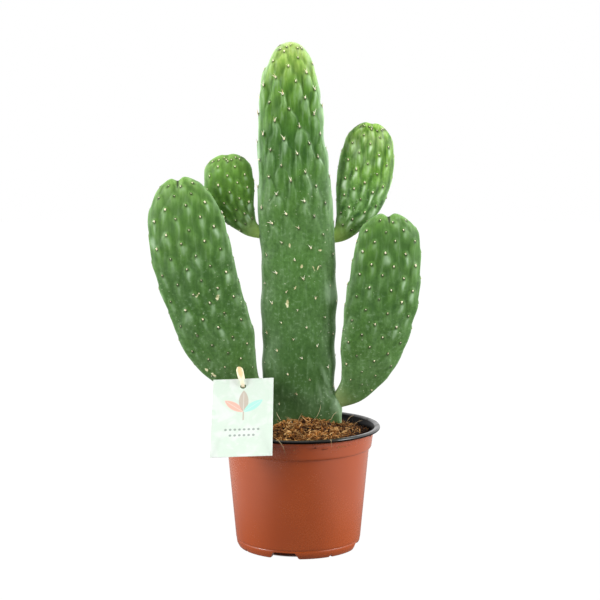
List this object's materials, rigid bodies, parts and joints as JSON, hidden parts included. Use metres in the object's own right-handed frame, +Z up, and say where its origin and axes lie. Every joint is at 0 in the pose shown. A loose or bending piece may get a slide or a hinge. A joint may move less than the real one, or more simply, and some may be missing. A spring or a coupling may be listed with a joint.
{
  "type": "potted paddle cactus",
  "caption": "Young paddle cactus with a tall ribbed trunk and flat side paddles, in a round nursery pot of potting mix, with a blank card tag.",
  "frame": {"origin": "middle of the whole plant's footprint box, on the floor under the pot's foot", "axes": "+Z up along the trunk, +X to the right and -Y towards the viewer who faces the paddles"},
  "size_m": [0.279, 0.1778, 0.515],
  "materials": {
    "trunk_skin": "satin",
    "paddle_skin": "satin",
    "pot_plastic": "satin",
    "potting_mix": "matte",
    "tag_card": "satin",
    "raffia": "matte",
    "areole_felt": "matte",
    "spine_horn": "satin",
    "coir_fibre": "matte"
  },
  "bodies": {
    "root": {"pot": "pot_plastic", "soil": "potting_mix", "trunk": "trunk_skin", "paddle_lower_left": "paddle_skin", "paddle_lower_right": "paddle_skin", "paddle_upper_left": "paddle_skin", "paddle_upper_right": "paddle_skin", "tag_card": "tag_card", "tag_loop": "raffia"}
  },
  "joints": []
}
